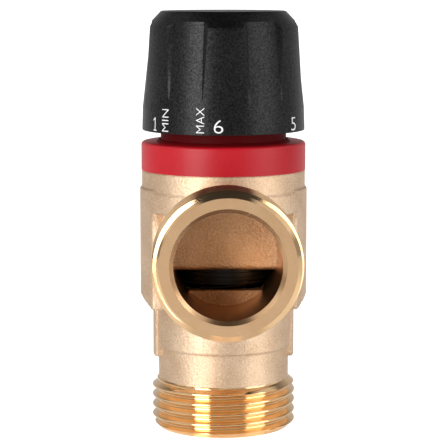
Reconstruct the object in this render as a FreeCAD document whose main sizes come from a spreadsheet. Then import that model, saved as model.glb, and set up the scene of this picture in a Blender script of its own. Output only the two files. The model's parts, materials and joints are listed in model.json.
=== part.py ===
"""Three-way mixing valve with a temperature knob, G 1 male ports. Millimetres, +Z up the spindle.

The origin is the centre of the bottom port's end face. The side ports lie along Y and the body's
flat pads face +X and -X. Every size is a cell of the sheet "Sizes"; seats and fits are worked out
from those cells, so a changed cell moves all that touches it.
"""
import FreeCAD, Part
import math
import os
import Sketcher
from FreeCAD import Rotation, Vector

doc = FreeCAD.newDocument("mixing_valve")
sheet = doc.addObject("Spreadsheet::Sheet", "Sizes")


class Size:
    """A length that knows its number and the sheet expression that it comes from."""

    def __init__(self, value, text):
        self.value = float(value)
        self.text = text

    def __add__(self, other):
        other = as_size(other)
        return Size(self.value + other.value, f"({self.text} + {other.text})")

    def __sub__(self, other):
        other = as_size(other)
        return Size(self.value - other.value, f"({self.text} - {other.text})")

    def __mul__(self, other):
        other = as_size(other)
        return Size(self.value * other.value, f"({self.text} * {other.text})")

    def __truediv__(self, other):
        other = as_size(other)
        return Size(self.value / other.value, f"({self.text} / {other.text})")

    def __neg__(self):
        return Size(-self.value, f"(-{self.text})")


def as_size(length):
    """A plain number becomes a Size, and a Size stays as it is."""
    return length if isinstance(length, Size) else Size(length, repr(float(length)))


SIZES = {
    # bottom port, up the axis
    "thread_dia": 33.24, "thread_chamfer": 1.3, "thread_root_dia": 30.3,
    "outlet_thread_len": 10.8, "outlet_neck_len": 6.0, "outlet_bore_dia": 24.8,
    "mouth_chamfer": 0.6, "throat_dia": 22.4, "outlet_bore_depth": 11.3,
    # barrel
    "lower_barrel_dia": 32.0, "lower_barrel_len": 11.9, "shoulder_rise": 2.8,
    "barrel_dia": 34.6, "barrel_len": 19.4, "collar_dia": 37.72, "collar_len": 9.15,
    "lower_pad_width": 33.34, "lower_pad_depth": 9.2, "pad_width": 39.14, "pad_depth": 21.2,
    "pad_drop": 4.0, "pad_chamfer": 0.6, "pad_round": 0.8,
    # side ports
    "port_height": 42.2, "port_span": 70.0, "port_thread_len": 13.0, "port_bore_dia": 23.6,
    "port_thread_chamfer": 1.6, "port_mouth_chamfer": 0.9, "port_floor": 14.5,
    "window_rise": 4.6, "window_offset": 3.75, "window_lip": 1.2,
    # chamber, cavity and bonnet
    "chamber_dia": 25.4, "seat_drop": 1.5, "cavity_dia": 30.0, "cavity_depth": 4.8,
    "fit_gap": 0.03, "running_gap": 0.05, "bonnet_nose": 4.6, "bonnet_flange_dia": 33.2,
    "bonnet_flange": 2.6, "bonnet_neck_dia": 23.2, "bonnet_rise": 12.5, "bonnet_web": 4.9,
    "bonnet_rim_dia": 21.8, "bonnet_rim": 4.0, "nut_flats": 17.0, "bonnet_ring_drop": 2.5,
    # collar
    "collar_ring_dia": 37.9, "collar_ring_len": 6.45, "collar_round": 0.7, "collar_neck_dia": 28.92,
    "collar_neck_len": 8.2, "collar_step": 0.5, "collar_wall": 2.0, "collar_clip_drop": 3.2,
    "stop_angle": 12.0, "stop_rise": 2.6, "index_angle": 3.5, "index_depth": 0.3,
    # knob
    "knob_gap": 2.7, "knob_len": 27.15, "knob_rim_dia": 37.52, "knob_skirt": 5.3,
    "knob_skirt_top_dia": 37.2, "knob_top_dia": 33.1, "knob_bevel": 2.2, "knob_bevel_inset": 1.75,
    "knob_wall": 1.9, "knob_plate": 3.8, "rib_rise": 0.55, "rib_angle": 30.0, "hub_dia": 15.0,
    "hub_gap": 0.8, "hub_web": 3.0, "cap_dia": 21.0, "cap_thickness": 1.6, "cap_gap": 0.15,
    "lug_angle": 15.5, "stop_gap": 0.5, "stop_travel": 106.25,
    # spindle
    "spindle_dia": 8.0, "spindle_flange_dia": 13.6, "spindle_flange": 1.0, "washer": 0.55,
    "spline_depth": 0.45, "spline_len": 13.6, "screw_dia": 3.9, "screw_len": 8.5,
    "screw_head_dia": 7.4, "screw_head": 2.2, "screw_recess_dia": 9.4, "engagement": 5.0,
    # rings and clips
    "seal_wire": 1.4, "big_seal_wire": 1.8, "clip": 0.8, "clip_bite": 0.6, "clip_width": 2.2,
    "clip_land": 1.0,
    # pusher nut, plunger and springs
    "nut_len": 11.0, "nut_drop": 1.2, "skirt_dia": 16.2, "skirt_len": 4.0, "nut_cavity_dia": 13.2,
    "nut_cavity": 7.8, "plunger_flange": 1.2, "plunger_stem_dia": 5.2, "plunger_stem": 3.2,
    "overtravel_coil_dia": 9.8, "overtravel_wire": 1.1, "overtravel_turns": 3.5,
    "return_coil_dia": 18.4, "return_wire": 1.6, "return_turns": 6.0,
    # shuttle and wax element
    "shuttle_len": 15.75, "shuttle_gap": 0.3, "shuttle_bore_dia": 21.2, "shuttle_lift_gap": 0.05,
    "web_rise": 5.5, "web": 3.6, "window_inner_dia": 17.4, "window_outer_dia": 20.2,
    "groove_depth": 0.35, "spoke_angle": 24.0, "hub_collar_dia": 16.6, "bulb_dia": 10.4,
    "bulb_len": 20.0, "shoulder_dia": 14.0, "shoulder": 2.4, "guide_dia": 6.8, "guide_len": 2.8,
    "guide_flange": 1.1, "guide_flange_dia": 12.4, "piston_dia": 3.2, "piston_well": 4.0,
    "piston_well_gap": 2.0,
    # spring seat
    "seat_plate": 1.5, "seat_lip": 1.6, "seat_opening_dia": 15.2,
    # how far a cut reaches past the metal, and how deep a feature starts in the one it joins
    "overcut": 1.0, "joint_depth": 1.0,
}

for row, (name, number) in enumerate(SIZES.items(), start=1):
    sheet.set(f"A{row}", name)
    sheet.set(f"B{row}", str(number))
    sheet.setAlias(f"B{row}", name)
doc.recompute()


def size(name):
    """The named cell of the sheet."""
    return Size(SIZES[name], f"Sizes.{name}")


def radius(name):
    """Half of the named diameter."""
    return size(name) / 2


# ------------------------------------------------------------------ helpers for sketches and features

XZ_PLANE, XY_PLANE = "XZ_Plane", "XY_Plane"
ZERO = Size(0, "0")
PIECES = []


def new_body(name):
    """An empty PartDesign body that becomes the file parts/NAME.step."""
    body = doc.addObject("PartDesign::Body", name)
    body.Label = name
    body.Placement = FreeCAD.Placement()
    PIECES.append(body)
    return body


def new_sketch(body, plane, offset=None, rise=None, turn=None):
    """A sketch on one of the body's origin planes.

    offset moves it along the plane's normal, rise along its own Y, and turn (degrees) turns it
    about its own Y, which is Z on the XZ plane.
    """
    sketch = body.newObject("Sketcher::SketchObject", body.Name + "_sketch")
    support = [item for item in body.Origin.OriginFeatures if item.Role == plane][0]
    sketch.AttachmentSupport = (support, [""])
    sketch.MapMode = "FlatFace"
    offset, rise, turn = (as_size(value or 0) for value in (offset, rise, turn))
    shift = Vector(0, rise.value, offset.value)
    sketch.AttachmentOffset = FreeCAD.Placement(shift, Rotation(Vector(0, 1, 0), turn.value))
    sketch.setExpression("AttachmentOffset.Base.y", rise.text)
    sketch.setExpression("AttachmentOffset.Base.z", offset.text)
    if turn.value:
        sketch.setExpression("AttachmentOffset.Rotation.Angle", turn.text)
    doc.recompute()
    return sketch


def bind(sketch, kind, place, length):
    """One dimension of the sketch, tied to the sheet. place is the constraint's geometry."""
    index = sketch.addConstraint(Sketcher.Constraint(kind, *place, length.value))
    sketch.setExpression(f"Constraints[{index}]", length.text)


def draw_outline(sketch, corners):
    """A closed outline of straight lines through corners, each a pair of Sizes."""
    corners = [(as_size(across), as_size(along)) for across, along in corners]
    first = sketch.GeometryCount
    count = len(corners)
    ends = [Vector(across.value, along.value, 0) for across, along in corners]
    for i in range(count):
        sketch.addGeometry(Part.LineSegment(ends[i], ends[(i + 1) % count]), False)
    for i in range(count):
        following = first + (i + 1) % count
        sketch.addConstraint(Sketcher.Constraint("Coincident", first + i, 2, following, 1))
    for i, (across, along) in enumerate(corners):
        if across.text == "0" or across.text == "0.0":
            sketch.addConstraint(Sketcher.Constraint("PointOnObject", first + i, 1, -2))
        else:
            bind(sketch, "DistanceX", (-1, 1, first + i, 1), across)
        if along.text == "0" or along.text == "0.0":
            sketch.addConstraint(Sketcher.Constraint("PointOnObject", first + i, 1, -1))
        else:
            bind(sketch, "DistanceY", (-1, 1, first + i, 1), along)


def draw_circle(sketch, centre, round_radius):
    """A circle at centre, a pair of Sizes."""
    across, along = (as_size(value) for value in centre)
    place = Vector(across.value, along.value, 0)
    index = sketch.addGeometry(Part.Circle(place, Vector(0, 0, 1), round_radius.value), False)
    bind(sketch, "DistanceX", (-1, 1, index, 3), across)
    bind(sketch, "DistanceY", (-1, 1, index, 3), along)
    bind(sketch, "Radius", (index,), round_radius)


def add(body, kind, sketch, **settings):
    """A sketch-based feature at the body's tip. A Size among the settings stays bound."""
    feature = body.newObject(kind, body.Name + "_" + kind.split("::")[1].lower())
    feature.Profile = sketch
    for key, value in settings.items():
        if isinstance(value, Size):
            setattr(feature, key, value.value)
            feature.setExpression(key, value.text)
        else:
            setattr(feature, key, value)
    doc.recompute()
    return feature


def turned(name, corners, body=None, kind="PartDesign::Revolution", angle=360.0, turn=None):
    """A profile in the XZ plane turned about Z. A part turn is centred on the direction turn."""
    body = body or new_body(name)
    sketch = new_sketch(body, XZ_PLANE, turn=turn)
    draw_outline(sketch, corners)
    axis = (sketch, ["V_Axis"])
    add(body, kind, sketch, ReferenceAxis=axis, Angle=angle, Midplane=angle != 360.0)
    return body


def groove(body, corners):
    """A profile turned about Z and taken away, which must remove material."""
    before = body.Shape.Volume
    turned(None, corners, body, "PartDesign::Groove")
    assert body.Shape.Volume < before, body.Label


def pocket(body, sketch, length, reverse=False, both=False):
    """A cut along the sketch's normal, which must remove material."""
    before = body.Shape.Volume
    add(body, "PartDesign::Pocket", sketch, Length=length, Reversed=reverse, Midplane=both)
    assert body.Shape.Volume < before, body.Label


def round_copies(body, feature, count):
    """count copies of feature about Z."""
    pattern = body.newObject("PartDesign::PolarPattern", body.Name + "_copies")
    pattern.Originals = [feature]
    pattern.Axis = (feature.Profile[0], ["V_Axis"])
    pattern.Angle = 360.0
    pattern.Occurrences = count
    body.Tip = pattern
    doc.recompute()


def edges_where(shape, test):
    """Names of the edges whose middle point and edge pass the test."""
    names = []
    for number, edge in enumerate(shape.Edges, start=1):
        middle = edge.valueAt((edge.FirstParameter + edge.LastParameter) / 2)
        if test(middle, edge):
            names.append(f"Edge{number}")
    return names


def dress(body, kind, amount, test):
    """A fillet or chamfer on the edges that pass the test."""
    base = body.Tip
    names = edges_where(base.Shape, test)
    assert names, body.Label
    feature = body.newObject(kind, body.Name + "_" + kind.split("::")[1].lower())
    feature.Base = (base, names)
    key = "Radius" if kind.endswith("Fillet") else "Size"
    setattr(feature, key, amount.value)
    feature.setExpression(key, amount.text)
    doc.recompute()


def near(number, goal):
    return abs(number - goal) < 0.02


def ring_profile(inner, outer, low, high):
    """The rectangle of a plain ring."""
    return [(inner, low), (outer, low), (outer, high), (inner, high)]


def seal(name, centre_radius, height, wire):
    """An O-ring: a circle turned about Z."""
    body = new_body(name)
    sketch = new_sketch(body, XZ_PLANE)
    draw_circle(sketch, (centre_radius, height), wire / 2)
    add(body, "PartDesign::Revolution", sketch, ReferenceAxis=(sketch, ["V_Axis"]), Angle=360.0)
    return body


def open_clip(name, inner, outer, low, high):
    """A retaining ring with a gap at -X, where its eyes are."""
    body = turned(name, ring_profile(inner, outer, low, high))
    sketch = new_sketch(body, XY_PLANE, low)
    half_gap = size("clip_width") / 2
    end = -(outer + size("clip"))
    draw_outline(sketch, [(end, -half_gap), (ZERO, -half_gap), (ZERO, half_gap), (end, half_gap)])
    pocket(body, sketch, high - low, reverse=True)
    return body


def coil(name, mean_radius, wire, low, high, turns):
    """A compression spring that stands between low and high."""
    body = new_body(name)
    sketch = new_sketch(body, XZ_PLANE)
    draw_circle(sketch, (mean_radius, low + wire / 2), wire / 2)
    helix = body.newObject("PartDesign::AdditiveHelix", name + "_helix")
    helix.Profile = sketch
    helix.ReferenceAxis = (sketch, ["V_Axis"])
    helix.Mode = "height-turns-angle"
    rise = high - low - wire
    helix.Height = rise.value
    helix.setExpression("Height", rise.text)
    helix.Turns = turns.value
    helix.setExpression("Turns", turns.text)
    doc.recompute()
    return body


def draw_strip_of_disc(sketch, centre_height, disc_radius, low, high):
    """The part of a disc, centred on the sketch's Y axis, that lies between low and high."""
    centre = Vector(0, centre_height.value, 0)
    corner_angles = []
    for level in (low, high):
        corner_angles.append(math.asin((level.value - centre_height.value) / disc_radius.value))
    low_angle, high_angle = corner_angles
    disc = Part.Circle(centre, Vector(0, 0, 1), disc_radius.value)
    right = Part.ArcOfCircle(disc, low_angle, high_angle)
    left = Part.ArcOfCircle(disc, math.pi - high_angle, math.pi - low_angle)
    bottom = Part.LineSegment(left.EndPoint, right.StartPoint)
    top = Part.LineSegment(right.EndPoint, left.StartPoint)
    sketch.addGeometry([bottom, right, top, left], False)
    for i in range(4):
        sketch.addConstraint(Sketcher.Constraint("Coincident", i, 2, (i + 1) % 4, 1))
    sketch.addConstraint(Sketcher.Constraint("Horizontal", 0))
    sketch.addConstraint(Sketcher.Constraint("Horizontal", 2))
    for arc in (1, 3):
        sketch.addConstraint(Sketcher.Constraint("PointOnObject", arc, 3, -2))
        bind(sketch, "DistanceY", (-1, 1, arc, 3), centre_height)
        bind(sketch, "Radius", (arc,), disc_radius)
    bind(sketch, "DistanceY", (-1, 1, 0, 1), low)
    bind(sketch, "DistanceY", (-1, 1, 2, 1), high)


def star(points, outer, inner):
    """Corners of a star or, with inner None, of a regular polygon, as pairs of Sizes."""
    reaches = [outer] if inner is None else [outer, inner]
    corners = []
    for i in range(points * len(reaches)):
        angle = 2 * math.pi * i / (points * len(reaches))
        reach = reaches[i % len(reaches)]
        corners.append((reach * round(math.cos(angle), 6), reach * round(math.sin(angle), 6)))
    return corners


# ------------------------------------------------------------------ levels worked out from the sizes

running, fit, clip = size("running_gap"), size("fit_gap"), size("clip")
overcut, joint_depth = size("overcut"), size("joint_depth")
spindle_radius = radius("spindle_dia")

neck_low = size("outlet_thread_len")
barrel_low = neck_low + size("outlet_neck_len")
shoulder_low = barrel_low + size("lower_barrel_len")
shoulder_high = shoulder_low + size("shoulder_rise")
collar_base = shoulder_high + size("barrel_len")
body_top = collar_base + size("collar_len")
pad_top = body_top - size("pad_drop")
port_height = size("port_height")
port_face = size("port_span") / 2
seat_low = size("outlet_bore_depth") - size("seat_plate")
seat_clip_low = seat_low - clip

cavity_floor = body_top - size("cavity_depth")
bonnet_foot = cavity_floor - size("bonnet_nose")
bonnet_ring = body_top - size("bonnet_ring_drop")
bonnet_top = body_top + size("bonnet_rise")
web_low = bonnet_top - size("bonnet_web")
collar_ring_top = body_top + size("collar_ring_len")
collar_neck_top = collar_ring_top + size("collar_neck_len")
collar_clip_low = collar_neck_top - size("collar_clip_drop")

spindle_clip_low = bonnet_top + fit
hub_low = spindle_clip_low + clip + size("hub_gap")
spline_top = hub_low + size("spline_len")
head_seat = spline_top + size("hub_web")
rim_low = collar_ring_top + size("knob_gap")
skirt_top = rim_low + size("knob_skirt")
knob_top = rim_low + size("knob_len")
bevel_low = knob_top - size("knob_bevel")
plate_low = knob_top - size("knob_plate")
cap_low = knob_top - size("cap_thickness")

flange_top = web_low - size("washer") - running
flange_low = flange_top - size("spindle_flange")
nut_top = flange_low - size("nut_drop")
nut_low = nut_top - size("nut_len")
skirt_low = nut_low - size("skirt_len")
cavity_top = skirt_low + size("nut_cavity") + size("plunger_flange") + clip
spindle_foot = nut_top - size("engagement")
plunger_foot = cavity_top - size("nut_cavity")
plunger_top = plunger_foot + size("plunger_flange")

shuttle_top = bonnet_foot - size("shuttle_lift_gap")
shuttle_foot = shuttle_top - size("shuttle_len")
body_seat = shuttle_foot - size("seat_drop")
web_base = shuttle_foot + size("web_rise")
web_top = web_base + size("web")
shuttle_ring = web_base + size("web") / 2
shoulder_top = web_top + size("shoulder")
piston_well = web_base - size("piston_well")

SPLINE_COUNT = 20
RIB_COUNT = 6
SPOKE_COUNT = 4
LEAD_GROOVE_COUNT = 3
HEXAGON_SIDE_COUNT = 6
ACROSS_CORNERS_RATIO = 2 / math.sqrt(3)
SEAL_GROOVE_RATIO = 0.6


# ------------------------------------------------------------------ the brass body

def build_valve_body():
    """One forging: stacked barrels, side pads, three threaded ports, then the turned inside."""
    thread, root = radius("thread_dia"), radius("thread_root_dia")
    chamfer = size("thread_chamfer")
    lower, barrel, collar = radius("lower_barrel_dia"), radius("barrel_dia"), radius("collar_dia")
    body = turned("valve_body", [
        (0, 0), (thread - chamfer, 0), (thread, chamfer), (thread, neck_low - chamfer),
        (root, neck_low), (root, barrel_low), (lower, barrel_low), (lower, shoulder_low),
        (barrel, shoulder_high), (barrel, collar_base), (collar, collar_base), (collar, body_top),
        (0, body_top)])

    pad, low_pad = radius("pad_width"), radius("lower_pad_width")
    corner = size("pad_chamfer")
    sketch = new_sketch(body, XZ_PLANE)
    draw_outline(sketch, [
        (-low_pad, barrel_low), (low_pad, barrel_low), (low_pad, shoulder_high),
        (-low_pad, shoulder_high)])
    add(body, "PartDesign::Pad", sketch, Length=size("lower_pad_depth"), Midplane=True)
    dress(body, "PartDesign::Fillet", size("pad_round"), lambda middle, edge:
          near(abs(middle.x), low_pad.value) and near(middle.z, barrel_low.value))

    sketch = new_sketch(body, XZ_PLANE)
    draw_outline(sketch, [
        (-low_pad, shoulder_low), (low_pad, shoulder_low), (pad, shoulder_high),
        (pad, pad_top - corner), (pad - corner, pad_top), (corner - pad, pad_top),
        (-pad, pad_top - corner), (-pad, shoulder_high)])
    add(body, "PartDesign::Pad", sketch, Length=size("pad_depth"), Midplane=True)
    half_depth = radius("pad_depth")
    dress(body, "PartDesign::Fillet", size("pad_round"), lambda middle, edge:
          near(abs(middle.x), pad.value)
          and (near(middle.z, shoulder_high.value) or near(abs(middle.y), half_depth.value)))

    face, port_chamfer = port_face, size("port_thread_chamfer")
    thread_end = face - size("port_thread_len")
    half = [(face, 0), (face, thread - port_chamfer), (face - port_chamfer, thread),
            (thread_end + port_chamfer, thread), (thread_end, root)]
    outline = [(as_size(along), as_size(out)) for along, out in half]
    mirrored = [(-along, out) for along, out in reversed(outline)]
    sketch = new_sketch(body, "YZ_Plane", rise=port_height)
    draw_outline(sketch, outline + mirrored)
    add(body, "PartDesign::Revolution", sketch, ReferenceAxis=(sketch, ["H_Axis"]), Angle=360.0)

    bore, mouth, floor = radius("port_bore_dia"), size("port_mouth_chamfer"), size("port_floor")
    for side in (1, -1):
        sketch = new_sketch(body, "YZ_Plane", rise=port_height)
        draw_outline(sketch, [
            ((face + overcut) * side, 0), ((face + overcut) * side, bore + mouth + overcut),
            ((face - mouth) * side, bore), (floor * side, bore), (floor * side, 0)])
        add(body, "PartDesign::Groove", sketch, ReferenceAxis=(sketch, ["H_Axis"]), Angle=360.0)

    outlet, seat_bite = radius("outlet_bore_dia"), size("clip_bite")
    mouth = size("mouth_chamfer")
    groove(body, [
        (0, -overcut), (outlet + mouth + overcut, -overcut), (outlet, mouth), (outlet, seat_clip_low),
        (outlet + seat_bite, seat_clip_low), (outlet + seat_bite, seat_low), (outlet, seat_low),
        (outlet, size("outlet_bore_depth")), (radius("throat_dia"), size("outlet_bore_depth")),
        (radius("throat_dia"), body_seat), (radius("chamber_dia"), body_seat),
        (radius("chamber_dia"), cavity_floor), (radius("cavity_dia"), cavity_floor),
        (radius("cavity_dia"), body_top + overcut), (0, body_top + overcut)])

    offset, rise = size("window_offset"), size("window_rise")
    for side, low in ((-1, port_height - offset - rise), (1, port_height + offset)):
        sketch = new_sketch(body, XZ_PLANE)
        draw_strip_of_disc(sketch, port_height, bore, low, low + rise)
        pocket(body, sketch, floor + overcut, reverse=side < 0)
    front_lip, back_lip = port_height - offset, port_height + offset
    dress(body, "PartDesign::Fillet", size("window_lip"), lambda middle, edge:
          near(abs(middle.y), floor.value) and edge.Length > bore.value and near(abs(middle.x), 0)
          and (near(middle.z, front_lip.value) or near(middle.z, back_lip.value)))
    return body


# ------------------------------------------------------------------ the bonnet and the red collar

def build_bonnet():
    """Turned insert in the body's top: seat rim, hexagonal guide for the nut, and stem bore."""
    outer, nose = radius("cavity_dia") - fit, radius("chamber_dia") - fit
    flange, neck = radius("bonnet_flange_dia"), radius("bonnet_neck_dia")
    groove_half = size("big_seal_wire") * SEAL_GROOVE_RATIO
    groove_floor = outer - size("big_seal_wire") - fit
    flats = radius("nut_flats")
    bore = spindle_radius + running
    rim_top = bonnet_foot + size("bonnet_rim")
    flange_level = body_top + size("bonnet_flange")
    bite = size("clip_bite")
    body = turned("bonnet", [
        (radius("bonnet_rim_dia"), bonnet_foot), (nose, bonnet_foot), (nose, cavity_floor),
        (outer, cavity_floor), (outer, bonnet_ring - groove_half),
        (groove_floor, bonnet_ring - groove_half), (groove_floor, bonnet_ring + groove_half),
        (outer, bonnet_ring + groove_half), (outer, body_top), (flange, body_top), (flange, flange_level),
        (neck, flange_level), (neck, collar_clip_low), (neck - bite, collar_clip_low),
        (neck - bite, collar_clip_low + clip), (neck, collar_clip_low + clip), (neck, bonnet_top),
        (bore, bonnet_top), (bore, web_low), (flats, web_low), (flats, rim_top),
        (radius("bonnet_rim_dia"), rim_top)])
    sketch = new_sketch(body, XY_PLANE, rim_top)
    draw_outline(sketch, star(HEXAGON_SIDE_COUNT, flats * ACROSS_CORNERS_RATIO, None))
    pocket(body, sketch, web_low - rim_top, reverse=True)
    return body


def build_bonnet_seal():
    wire = size("big_seal_wire")
    centre = radius("cavity_dia") - fit - wire / 2
    seal("bonnet_o_ring", centre, bonnet_ring, wire)


def build_indicator_collar():
    """Red moulding: ring on the body's top, neck into the knob, stop lug and index notch at +X."""
    ring, neck = radius("collar_ring_dia"), radius("collar_neck_dia")
    step, wall = size("collar_step"), size("collar_wall")
    gap = running * 2
    under_flange = body_top + size("bonnet_flange") + gap
    bonnet_neck = radius("bonnet_neck_dia") + gap
    pocket_radius = radius("bonnet_flange_dia") + gap
    body = turned("indicator_collar", [
        (pocket_radius, body_top), (ring, body_top), (ring, collar_ring_top),
        (neck + step * 2, collar_ring_top), (neck + step, collar_ring_top + step),
        (neck, collar_ring_top + step), (neck, collar_neck_top), (neck - wall, collar_neck_top),
        (neck - wall, collar_clip_low), (bonnet_neck, collar_clip_low), (bonnet_neck, under_flange),
        (pocket_radius, under_flange)])
    dress(body, "PartDesign::Fillet", size("collar_round"), lambda middle, edge:
          near(middle.z, collar_ring_top.value) and near(math.hypot(middle.x, middle.y), ring.value))
    turned(None, ring_profile(neck - wall, neck, collar_neck_top - step,
                              collar_neck_top + size("stop_rise")), body, angle=size("stop_angle"))
    inset = size("collar_round") * 2
    turned(None, ring_profile(ring - size("index_depth"), ring + overcut, body_top + inset,
                              collar_ring_top - inset),
           body, "PartDesign::Groove", size("index_angle"))
    return body


def build_collar_clip():
    groove_floor = radius("bonnet_neck_dia") - size("clip_bite")
    outer = radius("collar_neck_dia") - size("collar_wall") - running
    open_clip("collar_clip", groove_floor, outer, collar_clip_low + fit, collar_clip_low + clip - fit)


# ------------------------------------------------------------------ the knob

def build_control_knob():
    """Moulded shell with six grip ribs, splined hub, screw recess and the lug that meets the stop."""
    rim, skirt, top = radius("knob_rim_dia"), radius("knob_skirt_top_dia"), radius("knob_top_dia")
    wall, inset = size("knob_wall"), size("knob_bevel_inset")
    cap, recess, hub = radius("cap_dia") + size("cap_gap"), radius("screw_recess_dia"), radius("hub_dia")
    spline_root = spindle_radius - size("spline_depth") + fit
    screw = radius("screw_dia") + running * 2
    body = turned("control_knob", [
        (rim, rim_low), (skirt, skirt_top), (top, bevel_low), (top - inset, knob_top), (cap, knob_top),
        (cap, cap_low), (recess, cap_low), (recess, head_seat), (screw, head_seat),
        (screw, spline_top + fit), (spline_root, spline_top + fit), (spline_root, hub_low),
        (hub, hub_low), (hub, plate_low), (top - wall, plate_low), (skirt - wall, skirt_top),
        (rim - wall, rim_low)])

    rise = size("rib_rise")
    drop = rise * size("knob_bevel") / inset
    rib_profile = [(skirt - joint_depth, skirt_top), (skirt, skirt_top),
                   (top + rise, bevel_low - drop), (top, bevel_low), (top - joint_depth, bevel_low)]
    turned(None, rib_profile, body, angle=size("rib_angle"), turn=180 / RIB_COUNT)
    round_copies(body, body.Tip, RIB_COUNT)

    lug_turn = -(size("stop_angle") + size("lug_angle")) / 2 - size("stop_travel")
    lug_low = collar_neck_top + size("stop_gap")
    lug_inner = radius("collar_neck_dia") - size("collar_wall")
    turned(None, ring_profile(lug_inner, top - joint_depth, lug_low, plate_low + joint_depth), body,
           angle=size("lug_angle"), turn=lug_turn)

    sketch = new_sketch(body, XY_PLANE, hub_low)
    draw_outline(sketch, star(SPLINE_COUNT, spindle_radius + fit, spline_root))
    pocket(body, sketch, spline_top + fit - hub_low, reverse=True)
    return body


def build_knob_cap():
    """Flush cap with a spigot that snaps into the screw recess."""
    spigot = radius("screw_recess_dia") - fit
    wall = size("cap_thickness") / 2
    turned("knob_cap", [
        (0, cap_low), (spigot - wall, cap_low), (spigot - wall, cap_low - wall),
        (spigot, cap_low - wall), (spigot, cap_low), (radius("cap_dia"), cap_low),
        (radius("cap_dia"), knob_top), (0, knob_top)])


def build_knob_screw():
    """Pan-head screw with a hexagon socket."""
    head, shank = radius("screw_head_dia"), radius("screw_dia")
    head_top = head_seat + size("screw_head")
    body = turned("knob_screw", [
        (0, head_seat - size("screw_len")), (shank, head_seat - size("screw_len")), (shank, head_seat),
        (head, head_seat), (head, head_top), (0, head_top)])
    sketch = new_sketch(body, XY_PLANE, head_top)
    draw_outline(sketch, star(HEXAGON_SIDE_COUNT, shank * 0.8, None))
    pocket(body, sketch, size("screw_head") * 0.6)


# ------------------------------------------------------------------ the spindle and its seals

SEAL_NAMES = ("spindle_o_ring_lower", "spindle_o_ring_upper")


def seal_height(number):
    """Height of a stem seal; the two share the bonnet's web in thirds."""
    return web_low + size("bonnet_web") * (number + 1) / 3


def build_spindle():
    """Adjusting screw below the flange, sealed stem in the web, and splines in the knob's hub."""
    stem, flange = spindle_radius, radius("spindle_flange_dia")
    wire = size("seal_wire")
    floor = stem - wire
    half = wire * SEAL_GROOVE_RATIO
    clip_floor = stem - size("clip_bite")
    corners = [(0, spindle_foot), (stem, spindle_foot), (stem, flange_low), (flange, flange_low),
               (flange, flange_top), (stem, flange_top)]
    for number in range(len(SEAL_NAMES)):
        height = seal_height(number)
        corners += [(stem, height - half), (floor, height - half), (floor, height + half),
                    (stem, height + half)]
    screw = radius("screw_dia") + fit
    hole_foot = head_seat - size("screw_len") - joint_depth
    corners += [(stem, spindle_clip_low), (clip_floor, spindle_clip_low),
                (clip_floor, spindle_clip_low + clip), (stem, spindle_clip_low + clip),
                (stem, hub_low), (stem - size("spline_depth") - fit, hub_low),
                (stem - size("spline_depth") - fit, spline_top), (screw, spline_top),
                (screw, hole_foot), (0, hole_foot)]
    body = turned("spindle", corners)
    sketch = new_sketch(body, XY_PLANE, hub_low)
    draw_outline(sketch, star(SPLINE_COUNT, stem - fit, stem - size("spline_depth") - fit * 2))
    draw_circle(sketch, (ZERO, ZERO), screw + fit)
    add(body, "PartDesign::Pad", sketch, Length=spline_top - hub_low)


def build_spindle_seals():
    wire = size("seal_wire")
    for number, name in enumerate(SEAL_NAMES):
        seal(name, spindle_radius + fit - wire / 2, seal_height(number), wire)


def build_spindle_clip():
    inner = spindle_radius - size("clip_bite")
    open_clip("spindle_circlip", inner, spindle_radius + size("clip_width"),
              spindle_clip_low + fit / 2, spindle_clip_low + clip - fit / 2)


def build_thrust_washer():
    inner = spindle_radius + running
    turned("thrust_washer", ring_profile(inner, radius("spindle_flange_dia"),
                                         flange_top + running, web_low))


# ------------------------------------------------------------------ the nut and its overtravel stop

def build_pusher_nut():
    """Hexagonal nut with a round skirt that holds the overtravel spring."""
    flats = radius("nut_flats") - running * 2
    skirt, cavity = radius("skirt_dia"), radius("nut_cavity_dia")
    bite = size("clip_bite")
    clip_low = plunger_foot - clip
    body = turned("pusher_nut", [
        (spindle_radius + running, nut_top), (flats, nut_top), (flats, nut_low), (skirt, nut_low),
        (skirt, skirt_low), (cavity, skirt_low), (cavity, clip_low), (cavity + bite, clip_low),
        (cavity + bite, plunger_foot), (cavity, plunger_foot), (cavity, cavity_top),
        (spindle_radius + running, cavity_top)])
    sketch = new_sketch(body, XY_PLANE, nut_low)
    draw_outline(sketch, star(HEXAGON_SIDE_COUNT, flats * ACROSS_CORNERS_RATIO, None))
    draw_circle(sketch, (ZERO, ZERO), flats - joint_depth)
    add(body, "PartDesign::Pad", sketch, Length=nut_top - nut_low)
    return body


def build_overtravel_plunger():
    """Flanged plunger with a spring stem and a dimple for the piston's end."""
    dimple = radius("piston_dia") + running
    depth = size("plunger_flange") / 2
    foot = plunger_foot + fit
    turned("overtravel_plunger", [
        (dimple, foot), (radius("nut_cavity_dia") - running, foot),
        (radius("nut_cavity_dia") - running, plunger_top), (radius("plunger_stem_dia"), plunger_top),
        (radius("plunger_stem_dia"), plunger_top + size("plunger_stem")),
        (0, plunger_top + size("plunger_stem")), (0, foot + depth), (dimple, foot + depth)])


def build_plunger_clip():
    cavity = radius("nut_cavity_dia")
    open_clip("plunger_clip", cavity - size("clip_land"), cavity + size("clip_bite"),
              plunger_foot - clip + fit, plunger_foot - fit)


# ------------------------------------------------------------------ the wax element and the shuttle

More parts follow.
